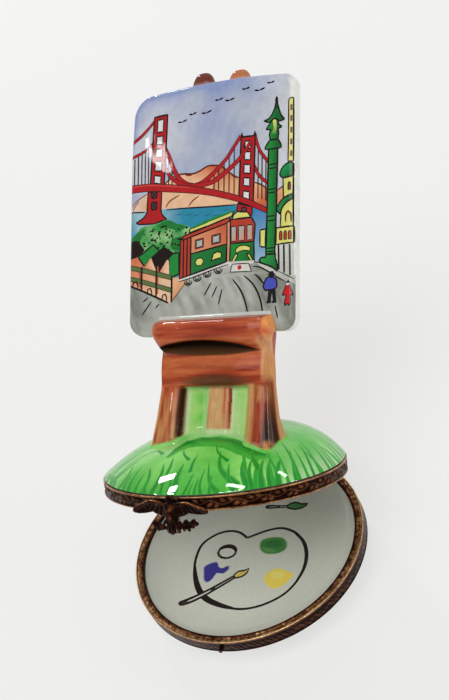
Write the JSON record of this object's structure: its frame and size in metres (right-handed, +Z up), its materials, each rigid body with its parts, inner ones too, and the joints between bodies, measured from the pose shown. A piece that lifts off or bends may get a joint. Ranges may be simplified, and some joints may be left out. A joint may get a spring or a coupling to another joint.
{
  "type": "hinged porcelain trinket box with an easel lid",
  "caption": "Small hinged porcelain box: an oval dish with brass rims and a bird clasp, its grassy lid carrying a painter's easel with a painted canvas.",
  "frame": {"origin": "centre of the flat foot that the box stands on", "axes": "+Z up out of the foot; -Y towards the clasp at the front; +Y towards the hinge; the hinge's pin lies along X"},
  "size_m": [0.053, 0.0955, 0.083],
  "materials": {
    "white_porcelain": "gloss",
    "green_porcelain": "gloss",
    "pale_green_porcelain": "gloss",
    "wood_painted_porcelain": "gloss",
    "tan_painted_porcelain": "gloss",
    "painted_canvas_porcelain": "gloss",
    "rim_brass": "antique",
    "clasp_brass": "antique",
    "pin_brass": "satin"
  },
  "bodies": {
    "base": {"base_dish": "white_porcelain", "base_rim": "rim_brass", "base_catch": "rim_brass", "hinge_base_leaf": "rim_brass", "hinge_pin": "pin_brass"},
    "lid": {"lid_mound": "green_porcelain", "lid_rim": "rim_brass", "hinge_lid_leaf": "rim_brass", "leg_left": "wood_painted_porcelain", "leg_right": "wood_painted_porcelain", "easel_web": "pale_green_porcelain", "centre_post": "tan_painted_porcelain", "apron": "wood_painted_porcelain", "canvas_ledge": "wood_painted_porcelain", "canvas": "painted_canvas_porcelain", "back_crossbar": "tan_painted_porcelain", "back_prop": "wood_painted_porcelain", "clasp_anchor": "clasp_brass"},
    "clasp": {"clasp_tongue": "clasp_brass", "clasp_bird": "clasp_brass", "clasp_wing_left": "clasp_brass", "clasp_wing_right": "clasp_brass", "clasp_branch": "clasp_brass", "clasp_arrows": "clasp_brass"}
  },
  "joints": [
    {"name": "lid_hinge", "type": "hinge", "parent": "base", "child": "lid", "pos_m": [0, 0.02615, 0.0094], "axis": [-1, 0, 0], "range_deg": [-36, 54]},
    {"name": "clasp_flex", "type": "hinge", "parent": "lid", "child": "clasp", "pos_m": [0.0026, -0.01461, 0.04087], "axis": [-1, 0, 0], "range_deg": [0, 6], "stiffness_Nm_per_rad": 0.03}
  ]
}
